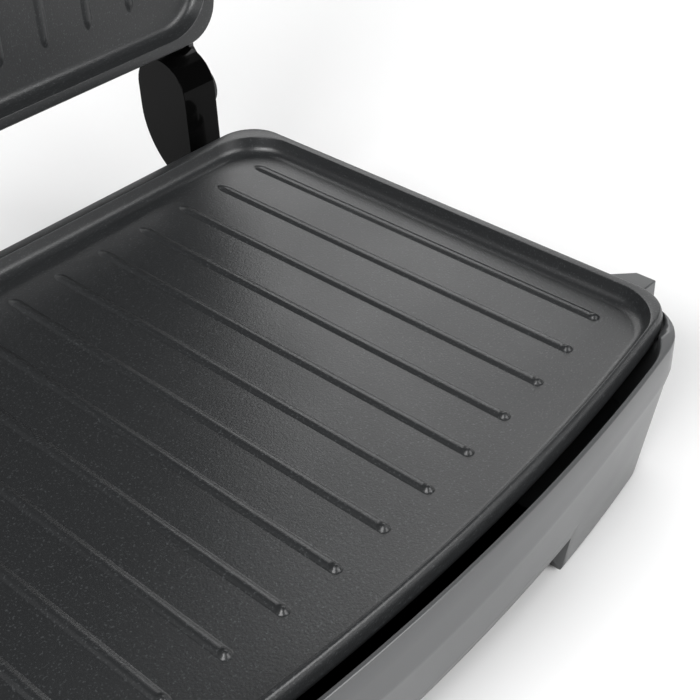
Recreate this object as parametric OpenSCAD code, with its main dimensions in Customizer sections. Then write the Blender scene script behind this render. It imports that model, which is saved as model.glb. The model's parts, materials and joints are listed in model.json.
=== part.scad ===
// Panini press with a ribbed lower grill plate, a matching upper plate in a
// floating lid, and two plate release buttons.
// Units are millimetres. X runs across the press, Y from front to back, Z up.
// The origin is on the table, in the middle of the plate's width.
// The lid is drawn shut and then swung open about its hinge pins.

/* [Base] */
// Width of the base and of the lid
body_w = 313; // [300:1:340]
// Back face of the base, measured from the origin
body_back = 108; // [100:1:120]
// Front face of the base on the centre line, measured from the origin
body_front = 120; // [112:1:130]
// Radius of the bowed front
bow_r = 809; // [600:1:1200]
// Radius of the front corners
front_corner_r = 22; // [16:0.5:26]
// Radius of the back corners
back_corner_r = 15; // [10:0.5:20]
// Thickness of the moulded walls
wall = 2.5; // [2:0.1:3]
// Height of the base's top rim above the table
rim_z = 58; // [56:0.5:64]
// Height of the step between the upper band and the lower body
step_z = 40; // [36:0.5:44]
// How far the lower body stands in at each side
side_step = 7; // [3:0.5:9]
// How far the front leans in from the step down to the table
front_lean = 7; // [2:0.5:10]
// Height of the underside between the feet
belly_z = 17.5; // [14:0.5:22]
// Distance from the middle to each foot's inner side
foot_inner_x = 83; // [70:1:100]
// Depth of each foot from front to back
foot_depth = 34; // [24:1:44]

/* [Grill plates] */
// Width of each grill plate
plate_w = 314; // [300:1:340]
// Distance from the base's front face to the plate's front
front_gap = 7; // [4:0.5:9]
// Distance from the base's back face to the plate's back edge
back_margin = 4.5; // [3:0.5:8]
// Outer corner radius of a plate
plate_corner_r = 15; // [10:0.5:20]
// Inner corner radius of a plate's raised edge
pan_corner_r = 20; // [14:0.5:24]
// Width of the raised edge at the sides
land_side = 3.2; // [2:0.1:6]
// Width of the raised edge at the back
land_back = 4.5; // [2:0.1:8]
// Width of the raised edge at the front
land_front = 2.2; // [1.5:0.1:5]
// Overall thickness of a plate from its underside to the top of its edge
plate_t = 9.5; // [8:0.5:12]
// Thickness of a plate's floor
plate_floor_t = 3; // [2.5:0.1:4]
// Number of ribs on each plate
rib_count = 15; // [5:2:17]
// Distance from one rib to the next
rib_pitch = 20; // [14:0.5:20]
// Width of a rib, which stands half as high
rib_w = 5; // [4:0.5:7]
// Distance from the plate's back edge to the back end of the ribs
rib_back_gap = 20.5; // [10:0.5:30]
// Distance from the plate's bowed front to the front end of the ribs
rib_front_gap = 18.3; // [12:0.1:40]
// Gap between the two raised edges when the lid is shut
shut_gap = 1.5; // [1:0.1:3]

/* [Heating] */
// Diameter of the heating element's steel sheath
element_d = 6.6; // [6:0.1:8]
// Half the width of the element's loop
element_half_w = 108; // [80:1:115]
// Half the depth of the element's loop
element_half_d = 58; // [40:1:62]
// Bend radius of the element
element_bend_r = 20; // [14:1:30]
// Depth of the reflector pans
reflector_depth = 14; // [12:0.5:16]
// Sheet thickness of the reflector pans
sheet_t = 0.8; // [0.6:0.1:1.2]
// Diameter of the snap thermostats
thermostat_d = 18; // [14:0.5:22]

/* [Hinge] */
// Distance from the middle to each tower's inner face
tower_x = 134; // [120:1:135]
// Width of a tower
tower_w = 16.5; // [14:0.5:17]
// Depth of a tower from front to back
tower_d = 28.6; // [26:0.2:32]
// Distance from the base's back face to a tower's upright front edge
tower_gap = 7.8; // [6:0.2:10]
// Height of the hinge pins above the table
pivot_z = 73; // [72:0.5:75]
// Distance from the base's back face to the hinge pins
pivot_gap = 19.7; // [19:0.1:21]
// Radius of a hinge pin
pin_r = 3.5; // [3:0.1:4]
// How far the lid can float up in its slots
float_travel = 10; // [6:0.5:12]
// Running clearance between a hinge pin and the lid's arm
pin_clearance = 0.05; // [0.02:0.01:0.09]
// Running clearance round a slider block
slider_clearance = 0.1; // [0.05:0.05:0.2]
// Thickness of the steel lid arms
arm_t = 2.5; // [2:0.1:3]

/* [Lid] */
// Height of the shut lid's sides above its rim
lid_side_h = 28.3; // [27:0.1:36]
// Radius of the lid's crown in both directions
crown_r = 1200; // [1000:10:1800]
// Thickness of the brushed top panel
panel_t = 0.8; // [0.6:0.1:1.2]
// Width of the moulded edge round the top panel
panel_margin = 16; // [12:1:30]
// Diameter of a signal lamp's lens
lamp_d = 7; // [5:0.5:9]
// Distance from the middle to each lamp
lamp_x = 13; // [9:0.5:30]

/* [Handle] */
// Distance from the middle to each handle bracket's inner face
handle_x = 76; // [60:1:110]
// Width of a handle bracket
bracket_w = 14; // [10:0.5:18]
// Distance from the lid's front to the grip's axis
handle_reach = 32; // [28:1:45]
// Radius of the grip
grip_r = 11; // [9:0.5:13]
// Radius of the steel bar inside the grip
bar_r = 5; // [4:0.5:6]

/* [Release buttons] */
// Distance from the front end of the straight side back to a button's front face
button_setback = 2.7; // [2:0.1:20]
// Length of a button's square outer face
button_l = 7.8; // [6:0.1:14]
// How far a button stands out of the side
button_out = 12; // [10:0.5:14]
// Height of a button's cap
button_h = 14; // [10:0.5:14]
// Travel of a button
button_travel = 3.5; // [2:0.1:3.5]

/* [Hidden] */
$fn = 96;

// heights of the base
plate_overhang = 4;                        // the plate's edge above the rim
land_z = rim_z + plate_overhang;
plate_under_z = land_z - plate_t;
floor_z = plate_under_z + plate_floor_t;
shelf_t = 2.5;
shelf_w = 22;                              // how far the shelf reaches under the plate
cover_t = 2.5;
pad_t = 3;
pad_sink = 2;                              // how deep a rubber pad sits in its foot
foot_z = pad_t - pad_sink;                 // underside of the moulded feet
pad_r = 10;
pad_x = foot_inner_x + 33;
front_pad_y = -85;
front_foot_gap = 12;                       // from the foremost point back to where the front feet begin
front_foot_end = foot_depth + front_foot_gap - body_front;
back_foot_end = body_back - foot_depth;
fit_gap = 0.3;                             // clearance between parts that slip together
seat_gap = 0.3;                            // clearance under a part that is pressed near another

// plan of the body and of the plates
body_half = body_w / 2;
plate_half = plate_w / 2;
bow_y = bow_r - body_front;                // centre of the bow, on the centre line
rim_wall = 1.2;                            // thin lip along the front
rim_side = 4;                              // lip at the side, hidden under the plate
rim_corner_r = 29;                         // the lip widens at the corners
rim_lip_h = 8;
plate_back = body_back - back_margin;
plate_bow_r = bow_r - front_gap;
inner_r = 12;                              // corner radius of inner walls
bow_steps = 20;
cone_inset = 0.1;                          // keeps the leaning front inside the bow's flats
corner_steps = 9;
big = 1000;

// the mirror plane between the two plates, when the lid is shut
mirror_z = land_z + shut_gap / 2;
pivot_y = body_back + pivot_gap;
lid_rim_z = 2 * mirror_z - rim_z;
crown_z = lid_rim_z + lid_side_h + crown_r - sqrt(pow(crown_r, 2) - pow(body_half, 2));
crown_y = (body_back - body_front) / 2;
lid_back_gap = 2;                          // the lid stops short of the base's back face
frame_top_z = 2 * mirror_z - plate_under_z + shelf_t;
frame_h = 6;
frame_rim = 3;                             // width of the frame's raised rim

// heating parts
element_r = element_d / 2;
element_z = plate_under_z - seat_gap - element_r;
reflector_z = plate_under_z - shelf_t - reflector_depth;
pan_half_w = 132;
pan_half_d = 80;
pan_y = -3;
terminal_x = 14;
fuse_x = 40;
fuse_r = 2.2;
fuse_l = 12;
clip_x = 70;
tail_l = 15;                               // sheathed tail below the element
pin_l = 6;                                 // bare terminal pin below the tail
tail_pin_r = 1.6;

// hinge
tower_y = body_back + tower_gap + tower_d / 2;
tower_top_r = tower_d / 2;
tower_top_z = pivot_z + 3;
tower_back_r = 32.9;                       // curve of the tower's lower back edge
tower_back_z = 66;                         // height at which that curve starts
tower_foot_z = 22;
tower_foot_t = 10;
tower_foot_h = 24;
tower_screw_in = 4;                        // from the tower's inner face to its screws
slot_half_w = pin_r + 0.6;
slot_wall = 3;                             // wall left at the tower's inner face
slider_h = 2 * pin_r + 2;
slider_w = 2 * (slot_half_w - slider_clearance);
arm_x = body_half - wall - arm_t;          // inner face of a lid arm
arm_eye_r = 9;
arm_band = 15;
arm_low_z = frame_top_z + 0.5;
arm_front_y = 40;
arm_screw_gaps = [8, 36];                  // from the arm's front end to its screws
pin_head_t = 1.8;

// handle and lamps
lamp_flange = 1.5;                         // the lens is held behind the wall by this flange
lamp_z = frame_top_z - shelf_t + frame_h + lamp_d / 2 + lamp_flange + 0.5;
lamp_stand = 1;
handle_z = lamp_z;
handle_y = -body_front - handle_reach;

// screws and bosses
screw_r = 1.8;
screw_head_r = 3.4;
screw_head_t = 2;
boss_r = 5;
boss_x = body_half - side_step - wall - boss_r + 1;
boss_ys = [-50, 0, 50];
boss_bore = 14;
cover_screw_l = 12;
screw_slack = 0.2;                         // room round a screw's shank
head_slack = 0.3;                          // room round a screw's head
tower_screw_l = 12.5;
tower_boss_t = 2.2;
frame_screw_l = 9.5;
frame_screw_ys = [-56, 0];                 // the screws at the sides

// terminal block and the cover's vents
block_half_w = 18;
block_front = 66;
block_d = 18;
block_h = 8;
wire_r = 2;
vent_w = 3;
vent_pitch = 8;
vent_half_l = 30;
vent_end_x = 40;

// cord inlet
gland_x = -60;
gland_z = 30;
gland_bore_r = 3.6;
gland_r = 7;
gland_flange_r = 9.5;

// release buttons
side_front_y = bow_y - sqrt(pow(bow_r - front_corner_r, 2) - pow(body_half - front_corner_r, 2));
button_front = -side_front_y - button_setback;
button_gap = 4;                            // room between the cap and the side wall
stem_h = 6;
stem_l = 11;
stem_in = 13;
stem_end_x = body_half - stem_in;
button_z = rim_z - button_h;
button_stem_z = plate_under_z - shelf_t - stem_h;
collar_l = 17;
collar_t = 2.5;
collar_side = 3;                           // collar in front of the stem
spring_wire = 0.8;
spring_turns = 3;
spring_r = 2.2;
spring_pitch = 1.8;
seat_t = 1.4;

// ---------- shared shapes ----------

// children extruded between two heights
module slab(z0, z1) {
    translate([0, 0, z0]) linear_extrude(z1 - z0) children();
}

// a profile drawn in Y and Z, extruded along X from x0 to x1
module across(x0, x1) {
    translate([x0, 0, 0]) rotate([90, 0, 90]) linear_extrude(x1 - x0) children();
}

// a box between two corners
module block(low, high) {
    translate(low) cube(high - low);
}

// points of an arc, numbered from first to last out of n steps
function arc_points(cx, cy, r, a0, a1, n, first, last) = [
    for (i = [first : last])
        let (a = a0 + (a1 - a0) * i / n)
        [cx + r * cos(a), cy + r * sin(a)]
];

// plan outline with a bowed front that runs round into the sides
module bowed_outline(half, back, front_r, r_front, r_back) {
    corner_x = half - r_front;
    t = asin(corner_x / (front_r - r_front));
    corner_y = bow_y - (front_r - r_front) * cos(t);
    side_x = half - r_back;
    mid = back - r_back;
    polygon(concat(
        arc_points(0, bow_y, front_r, 270 - t, 270 + t, bow_steps, 0, bow_steps),
        arc_points(corner_x, corner_y, r_front, 270 + t, 360, corner_steps, 1, corner_steps),
        arc_points(side_x, mid, r_back, 0, 90, corner_steps, 0, corner_steps),
        arc_points(-side_x, mid, r_back, 90, 180, corner_steps, 0, corner_steps),
        arc_points(-corner_x, corner_y, r_front, 180, 270 - t, corner_steps, 0, corner_steps - 1)
    ));
}

// the body's outline, moved in by these amounts
module body_outline(side, back, front, r_front = front_corner_r, r_back = back_corner_r) {
    bowed_outline(body_half - side, body_back - back, bow_r - front, r_front, r_back);
}

// a plate's outline, moved in by these amounts
module plate_outline(side, back, front, r = plate_corner_r) {
    bowed_outline(plate_half - side, plate_back - back, plate_bow_r - front, r, r);
}

// the lean of the front below the step, as one large cone
module front_cone(inset) {
    translate([0, bow_y, 0])
        cylinder(h = step_z, r1 = bow_r - front_lean - inset - cone_inset, r2 = bow_r - inset - cone_inset,
            $fn = 200);
}

// the two back and two front foot areas, grown by a margin
module foot_areas(margin, z0, z1) {
    for (side = [-1, 1]) {
        mirror([side < 0 ? 1 : 0, 0, 0]) {
            block([foot_inner_x - margin, -body_front, z0], [body_half, front_foot_end + margin, z1]);
            block([foot_inner_x - margin, back_foot_end - margin, z0], [body_half, body_back, z1]);
        }
    }
}

// places of the cover's bosses and screws
module at_bosses() {
    for (side = [-1, 1]) {
        for (y = boss_ys) {
            translate([side * boss_x, y, 0]) children();
        }
    }
}

// moves a part from the base's frame to the shut lid, upside down
module turned_over() {
    translate([0, 0, 2 * mirror_z]) mirror([0, 0, 1]) children();
}

// swings a part of the shut lid up to where the open lid rests
module opened() {
    translate([0, pivot_y, pivot_z]) rotate([-90, 0, 0]) translate([0, -pivot_y, -pivot_z]) children();
}

// a part of the lid that matches one of the base
module in_lid() {
    opened() turned_over() children();
}

// ---------- base ----------

module lower_body(inset, z0, z1) {
    intersection() {
        slab(z0, z1)
            body_outline(side_step + inset, inset, inset, front_corner_r - side_step / 2,
                back_corner_r - inset);
        front_cone(inset);
    }
}

module button_window() {
    block([stem_end_x - button_travel - 1, -button_front - fit_gap, button_stem_z - fit_gap],
        [body_half + 1, -button_front + stem_l + fit_gap, button_stem_z + stem_h + fit_gap]);
}
// room for the button's stem and collar behind the wall
module button_room() {
    block([stem_end_x - button_travel - 1, -button_front - collar_side - fit_gap, button_stem_z - fit_gap],
        [body_half, -button_front - collar_side + collar_l + fit_gap, button_stem_z + stem_h + fit_gap]);
}

module base_walls() {
    difference() {
        union() {
            slab(step_z, rim_z) body_outline(0, 0, 0);
            lower_body(0, belly_z, step_z + 0.01);
        }
        lower_body(wall, belly_z - 1, step_z - wall);
        slab(step_z - wall - 0.01, step_z + 1)
            body_outline(side_step + wall, wall, wall + 1, inner_r + 4, inner_r);
        slab(step_z, rim_z - rim_lip_h)
            body_outline(wall, wall, wall, front_corner_r - wall, back_corner_r - wall);
        slab(rim_z - rim_lip_h - 0.01, rim_z + 1)
            body_outline(rim_side, wall, rim_wall, rim_corner_r, back_corner_r - wall);
    }
}

module feet() {
    difference() {
        intersection() {
            lower_body(0, foot_z, belly_z + cover_t);
            foot_areas(0, foot_z, belly_z + cover_t);
        }
        intersection() {
            lower_body(wall, foot_z + pad_t + 1, belly_z + cover_t + 1);
            foot_areas(-wall, foot_z + pad_t + 1, belly_z + cover_t + 1);
        }
        at_feet() cylinder(h = pad_sink + foot_z, r = pad_r + fit_gap);
    }
}

module at_feet() {
    for (side = [-1, 1]) {
        translate([side * pad_x, front_pad_y, 0]) children();
        translate([side * pad_x, body_back - foot_depth / 2, 0]) children();
    }
}

module plate_shelf() {
    difference() {
        slab(plate_under_z - shelf_t, plate_under_z) {
            plate_outline(3.2, 1, 4);
            translate([-(body_half - back_corner_r), 0])
                square([body_w - 2 * back_corner_r, body_back - wall]);
        }
        slab(plate_under_z - shelf_t - 1, plate_under_z + 1)
            plate_outline(shelf_w, shelf_w, shelf_w, inner_r);
    }
}

module base_housing() {
    color("#3c3d3f") difference() {
        union() {
            base_walls();
            feet();
            plate_shelf();
            spring_seat();
            at_tower_screws() cylinder(h = tower_boss_t, r = screw_head_r + 0.6);
            at_bosses() cylinder_between(belly_z + cover_t, plate_under_z - shelf_t, boss_r);
        }
        slab(plate_under_z, rim_z + 1) plate_outline(-1, -1, -1, plate_corner_r + 1);
        at_bosses() translate([0, 0, belly_z]) cylinder(h = boss_bore, r = screw_r);
        button_window();
        translate([gland_x, body_back + 1, gland_z]) rotate([90, 0, 0]) cylinder(h = wall + 2, r = gland_r);
        at_tower_screws() translate([0, 0, -1]) cylinder(h = 8, r = screw_r);
    }
}

module cylinder_between(z0, z1, r) {
    translate([0, 0, z0]) cylinder(h = z1 - z0, r = r);
}

module bottom_cover() {
    color("#2b2c2d") difference() {
        lower_body(wall + fit_gap, belly_z, belly_z + cover_t);
        foot_areas(fit_gap, belly_z - 1, belly_z + cover_t + 1);
        at_bosses() translate([0, 0, belly_z - 1]) cylinder(h = cover_t + 2, r = screw_r + screw_slack);
        at_bosses() translate([0, 0, belly_z - 1]) cylinder(h = 2.2, r = screw_head_r + head_slack);
        for (x = [-vent_end_x : vent_pitch : vent_end_x]) {
            block([x - vent_w / 2, -vent_half_l, belly_z - 1],
                [x + vent_w / 2, vent_half_l, belly_z + cover_t + 1]);
        }
    }
}

module rubber_feet() {
    color("#161616") at_feet() {
        difference() {
            cylinder(h = pad_t, r = pad_r);
            translate([0, 0, -1]) cylinder(h = 1.6, r = pad_r - 4);
        }
    }
}

module cover_screws() {
    color("silver") at_bosses() {
        difference() {
            union() {
                cylinder_between(belly_z - 0.6, belly_z + 1.2, screw_head_r);
                cylinder_between(belly_z + 1, belly_z + 1 + cover_screw_l, screw_r);
            }
            translate([0, 0, belly_z - 1]) linear_extrude(1.2) {
                square([3.6, 0.9], center = true);
                square([0.9, 3.6], center = true);
            }
        }
    }
}

// ---------- grill plate, drawn for the base ----------

function rib_front(x) = bow_y - sqrt(pow(plate_bow_r, 2) - pow(x, 2)) + rib_front_gap + rib_w / 2;

module ribs() {
    r = rib_w / 2;
    first = -(rib_count - 1) / 2;
    for (i = [0 : rib_count - 1]) {
        x = (first + i) * rib_pitch;
        y0 = rib_front(x);
        y1 = plate_back - rib_back_gap - r;
        translate([x, y0, floor_z]) rotate([-90, 0, 0]) {
            sphere(r);
            cylinder(h = y1 - y0, r = r);
            translate([0, 0, y1 - y0]) sphere(r);
        }
    }
}

module grill_plate() {
    difference() {
        slab(plate_under_z, land_z) plate_outline(0, 0, 0);
        slab(floor_z, land_z + 1) plate_outline(land_side, land_back, land_front, pan_corner_r);
    }
    ribs();
}

module lower_plate() {
    color("#2e2f30") grill_plate();
}

// ---------- heating parts, drawn for the base ----------

module reflector_outline(grow) {
    translate([0, pan_y]) {
        square([2 * (pan_half_w + grow - inner_r), 2 * (pan_half_d + grow)], center = true);
        square([2 * (pan_half_w + grow), 2 * (pan_half_d + grow - inner_r)], center = true);
        for (sx = [-1, 1]) {
            for (sy = [-1, 1]) {
                translate([sx * (pan_half_w + grow - inner_r), sy * (pan_half_d + grow - inner_r)])
                    circle(inner_r);
            }
        }
    }
}

module reflector() {
    top = plate_under_z - shelf_t;
    difference() {
        union() {
            slab(top - sheet_t, top) reflector_outline(4);
            slab(reflector_z, top) reflector_outline(0);
        }
        slab(reflector_z + sheet_t, top + 1) reflector_outline(-sheet_t);
        for (side = [-1, 1]) {
            translate([side * terminal_x, pan_y + element_half_d, reflector_z - 1])
                cylinder(h = sheet_t + 2, r = element_r + 1.2);
        }
    }
}

// one quarter bend of the element, from -X to +Y about its own centre
module element_bend(angle) {
    rotate([0, 0, angle]) rotate_extrude(angle = 90) translate([element_bend_r, 0])
        circle(element_r, $fn = 32);
}

module element() {
    half_w = element_half_w;
    half_d = element_half_d;
    b = element_bend_r;
    translate([0, pan_y, element_z]) {
        // front run and side runs
        translate([-(half_w - b), -half_d, 0]) rotate([0, 90, 0])
            cylinder(h = 2 * (half_w - b), r = element_r);
        for (side = [-1, 1]) {
            translate([side * half_w, -(half_d - b), 0]) rotate([-90, 0, 0])
                cylinder(h = 2 * (half_d - b), r = element_r);
            translate([side * (half_w - b), -(half_d - b), 0]) element_bend(side > 0 ? 270 : 180);
            translate([side * (half_w - b), half_d - b, 0]) element_bend(side > 0 ? 0 : 90);
        }
        // back runs, which end in terminals that turn down through the reflector
        for (side = [0, 1]) {
            mirror([side, 0, 0]) {
                translate([terminal_x, half_d, 0]) rotate([0, 90, 0])
                    cylinder(h = half_w - b - terminal_x, r = element_r);
                translate([terminal_x, half_d, 0]) sphere(element_r);
                translate([terminal_x, half_d, -tail_l]) cylinder(h = tail_l, r = element_r);
                translate([terminal_x, half_d, -tail_l - pin_l]) cylinder(h = pin_l + 1, r = tail_pin_r);
            }
        }
    }
}

module element_clips() {
    clip_w = 10;
    clip_top = element_z - element_r - seat_gap;
    for (sx = [-1, 1]) {
        for (sy = [-1, 1]) {
            translate([sx * clip_x, pan_y + sy * element_half_d, 0]) {
                difference() {
                    block([-clip_w / 2, -element_d, reflector_z + sheet_t],
                        [clip_w / 2, element_d, element_z]);
                    block([-clip_w, -element_d + 1.2, reflector_z + sheet_t + 1.2],
                        [clip_w, element_d - 1.2, clip_top - 1.2]);
                    translate([-clip_w, 0, element_z]) rotate([0, 90, 0])
                        cylinder(h = 2 * clip_w, r = element_r + seat_gap);
                }
            }
        }
    }
}

module thermostat() {
    top = plate_under_z - seat_gap;
    cylinder_between(top - 7, top, thermostat_d / 2);
    cylinder_between(reflector_z + sheet_t, top - 6, thermostat_d / 4);
    for (side = [-1, 1]) {
        block([side * thermostat_d / 2 - 2, -3, top - 6.2], [side * thermostat_d / 2 + 2, 3, top - 5.4]);
    }
}

module lower_reflector() {
    color("silver") reflector();
}

module lower_element() {
    color("#55504a") element();
}

module lower_element_clips() {
    color("silver") element_clips();
}

module lower_thermostat() {
    color("#c9b89a") thermostat();
}

module thermal_fuse() {
    floor = reflector_z + sheet_t;
    color("silver") translate([fuse_x, 0, floor]) {
        translate([-fuse_l / 2, 0, fuse_r + 1]) rotate([0, 90, 0]) cylinder(h = fuse_l, r = fuse_r);
        for (x = [-4, 2]) {
            block([x, -fuse_r - 1, 0], [x + 2, fuse_r + 1, fuse_r]);
        }
    }
}

module terminal_block() {
    floor = belly_z + cover_t;
    color("ivory") difference() {
        block([gland_x - block_half_w, block_front, floor],
            [gland_x + block_half_w, block_front + block_d, floor + block_h]);
        for (x = [-12, 0, 12]) {
            translate([gland_x + x, block_front - 1, floor + block_h / 2]) rotate([-90, 0, 0])
                cylinder(h = block_d + 2, r = wire_r);
            translate([gland_x + x, block_front + block_d / 2, floor + block_h / 2])
                cylinder(h = block_h, r = wire_r);
        }
    }
}

module cord_gland() {
    color("#161616") translate([gland_x, body_back, gland_z]) rotate([90, 0, 0]) difference() {
        union() {
            translate([0, 0, -2]) cylinder(h = 2, r = gland_flange_r);
            translate([0, 0, -0.01]) cylinder(h = wall + 0.01, r = gland_r - 0.1);
            translate([0, 0, wall]) cylinder(h = 4, r1 = gland_r + 1, r2 = gland_r - 1);
        }
        translate([0, 0, -3]) cylinder(h = wall + 10, r = gland_bore_r);
    }
}

// ---------- hinge ----------

module tower_profile() {
    difference() {
        union() {
            intersection() {
                translate([tower_y + tower_d / 2 - tower_back_r, tower_back_z]) circle(tower_back_r);
                translate([body_back, 0]) square([100, tower_back_z]);
            }
            translate([body_back + tower_gap, tower_back_z - 6])
                square([tower_d, tower_top_z - tower_back_z + 6]);
            translate([tower_y, tower_top_z]) circle(tower_top_r);
            translate([body_back, tower_foot_z]) square([tower_foot_t, tower_foot_h]);
        }
        translate([body_back - 20, tower_foot_z + tower_foot_h]) square([20 + tower_gap, 60]);
    }
}

module hinge_tower() {
    slot_low = pivot_z - slider_h / 2;
    slot_high = pivot_z + slider_h / 2 + float_travel;
    difference() {
        across(tower_x, tower_x + tower_w) tower_profile();
        block([tower_x + slot_wall, pivot_y - slot_half_w, slot_low],
            [tower_x + tower_w + 1, pivot_y + slot_half_w, slot_high + slider_clearance]);
        tower_screw_holes() cylinder(h = 13, r = screw_r);
    }
}

// the two screws that hold each tower, seen from inside the base
module tower_screw_holes() {
    for (z = [tower_foot_z + 5, tower_foot_z + tower_foot_h - 7]) {
        translate([tower_x + tower_screw_in, body_back - wall - 2, z]) rotate([-90, 0, 0]) children();
    }
}

module at_tower_screws() {
    for (side = [0, 1]) {
        mirror([side, 0, 0]) tower_screw_holes() children();
    }
}

module hinge_tower_left() {
    color("#0e0e0f") mirror([1, 0, 0]) hinge_tower();
}

module hinge_tower_right() {
    color("#0e0e0f") hinge_tower();
}

module tower_screws() {
    color("silver") at_tower_screws() {
        translate([0, 0, -screw_head_t]) cylinder(h = screw_head_t, r = screw_head_r);
        translate([0, 0, -0.1]) cylinder(h = tower_screw_l, r = screw_r);
    }
}

module at_pins() {
    for (side = [0, 1]) {
        mirror([side, 0, 0]) translate([0, pivot_y, pivot_z]) rotate([0, 90, 0]) children();
    }
}

module hinge_sliders() {
    x0 = tower_x + slot_wall + slider_clearance;
    x1 = tower_x + tower_w - 0.2;
    color("#d8d4c8") difference() {
        for (side = [0, 1]) {
            mirror([side, 0, 0]) block([x0, pivot_y - slider_w / 2, pivot_z - slider_h / 2],
                [x1, pivot_y + slider_w / 2, pivot_z + slider_h / 2]);
        }
        at_pins() translate([0, 0, x0 + 1.5]) cylinder(h = tower_w, r = pin_r + 0.03);
    }
}

module hinge_pins() {
    color("silver") at_pins() {
        cylinder_between(tower_x + slot_wall + 2, arm_x + arm_t + pin_head_t, pin_r);
        cylinder_between(arm_x + arm_t + 0.3, arm_x + arm_t + pin_head_t, pin_r + 2);
    }
}

// ---------- lid, drawn shut ----------

module crown(depth) {
    intersection() {
        translate([-big, crown_y, crown_z - crown_r]) rotate([0, 90, 0])
            cylinder(h = 2 * big, r = crown_r - depth, $fn = 250);
        translate([0, -big, crown_z - crown_r]) rotate([-90, 0, 0])
            cylinder(h = 2 * big, r = crown_r - depth, $fn = 250);
        block([-big, -big, 0], [big, big, 2 * crown_z]);
    }
}

module lid_volume(inset, z0) {
    intersection() {
        slab(z0, crown_z + 10)
            body_outline(inset, inset + lid_back_gap, inset, front_corner_r - inset, back_corner_r - inset);
        crown(inset);
    }
}

module lid_housing() {
    color("#3c3d3f") opened() difference() {
        union() {
            difference() {
                lid_volume(0, lid_rim_z);
                lid_volume(wall, lid_rim_z - 1);
            }
            intersection() {
                at_frame_screws() cylinder_between(frame_top_z, crown_z, boss_r);
                lid_volume(wall / 2, lid_rim_z);
            }
        }
        // recess for the top panel
        difference() {
            slab(lid_rim_z + 5, crown_z + 20) body_outline(panel_margin, panel_margin, panel_margin);
            crown(panel_t);
        }
        turned_over() slab(plate_under_z, rim_z + 1) plate_outline(-1, -1, -1, plate_corner_r + 1);
        turned_over() button_window();
        at_frame_screws() cylinder_between(frame_top_z - 1, frame_top_z + 10, screw_r);
        for (side = [0, 1]) {
            mirror([side, 0, 0]) block([arm_x - 0.5, body_back - 30, arm_low_z - 0.5],
                [arm_x + arm_t + 0.02, body_back + 5, arm_low_z + arm_band + 0.5]);
        }
        at_lamps() cylinder(h = 20, r = lamp_d / 2 + 0.1);
    }
}

module lid_top_panel() {
    color("#b9babc") opened() difference() {
        intersection() {
            slab(lid_rim_z + 5, crown_z + 10)
                body_outline(panel_margin + 0.2, panel_margin + 0.2, panel_margin + 0.2);
            crown(0);
        }
        crown(panel_t - 0.05);
    }
}

module lid_inner_frame() {
    low = frame_top_z - shelf_t;
    top = low + frame_h;
    color("#2b2c2d") opened() difference() {
        union() {
            turned_over() slab(plate_under_z - shelf_t, plate_under_z) plate_outline(4.2, 1.5, 4);
            turned_over() spring_seat();
            difference() {
                slab(low, top)
                    body_outline(wall + fit_gap + 1.5, wall + fit_gap + lid_back_gap, wall + fit_gap,
                        inner_r + 6, inner_r);
                slab(low + shelf_t, top + 1)
                    body_outline(wall + frame_rim + 2, wall + frame_rim + lid_back_gap, wall + frame_rim,
                        inner_r + 4, inner_r - 2);
            }
        }
        turned_over() slab(plate_under_z - shelf_t - 10, plate_under_z + 1)
            plate_outline(shelf_w, shelf_w, shelf_w, inner_r);
        at_frame_screws() cylinder_between(low - 1, low + 10, screw_r + screw_slack);
        at_frame_screws() cylinder_between(low - 1, low + 1.6, screw_head_r + head_slack);
        at_frame_screws() cylinder_between(low + shelf_t, low + 8, boss_r + fit_gap);
        turned_over() button_room();
        for (side = [0, 1]) {
            mirror([side, 0, 0]) block([arm_x - 1, arm_front_y - 2, low + shelf_t],
                [arm_x + arm_t + 5, body_back + 5, low + 20]);
        }
    }
}

module at_frame_screws() {
    for (sx = [-1, 1]) {
        for (y = frame_screw_ys) {
            translate([sx * (plate_half - 14), y, 0]) children();
        }
        translate([sx * 60, plate_back - 12, 0]) children();
        translate([sx * 60, -body_front + 20, 0]) children();
    }
}

module frame_screws() {
    low = frame_top_z - shelf_t;
    color("silver") opened() at_frame_screws() {
        cylinder_between(low + 0.2, low + 1.6, screw_head_r);
        cylinder_between(low + 1.5, low + 1.5 + frame_screw_l, screw_r);
    }
}

module upper_plate() {
    color("#2e2f30") in_lid() grill_plate();
}

module upper_reflector() {
    color("silver") in_lid() reflector();
}

module upper_element() {
    color("#55504a") in_lid() element();
}

module upper_element_clips() {
    color("silver") in_lid() element_clips();
}

module upper_thermostat() {
    color("#c9b89a") in_lid() thermostat();
}

// ---------- lid arms ----------

module lid_arm() {
    opened() difference() {
        across(arm_x, arm_x + arm_t) {
            translate([pivot_y, pivot_z]) circle(arm_eye_r);
            polygon([[pivot_y + 3, pivot_z + 8.4], [pivot_y - 4, arm_low_z + arm_band],
                [arm_front_y, arm_low_z + arm_band], [arm_front_y, arm_low_z],
                [pivot_y - 16, arm_low_z], [pivot_y - 8.4, pivot_z - 3]]);
        }
        translate([0, pivot_y, pivot_z]) rotate([0, 90, 0]) cylinder(h = body_w, r = pin_r + pin_clearance);
        at_arm_screws() cylinder(h = 20, r = screw_r + 0.1, center = true);
    }
}

module at_arm_screws() {
    for (gap = arm_screw_gaps) {
        translate([arm_x, arm_front_y + gap, arm_low_z + arm_band / 2]) rotate([0, 90, 0]) children();
    }
}

module lid_arm_left() {
    color("#4a4a4c") mirror([1, 0, 0]) lid_arm();
}

module lid_arm_right() {
    color("#4a4a4c") lid_arm();
}

module arm_screws() {
    color("silver") opened() for (side = [0, 1]) {
        mirror([side, 0, 0]) at_arm_screws() {
            translate([0, 0, -1.4]) cylinder(h = 1.4, r = 3);
            translate([0, 0, -0.1]) cylinder(h = arm_t + 0.1, r = screw_r);
        }
    }
}

// ---------- release buttons, drawn for the base ----------

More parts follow.
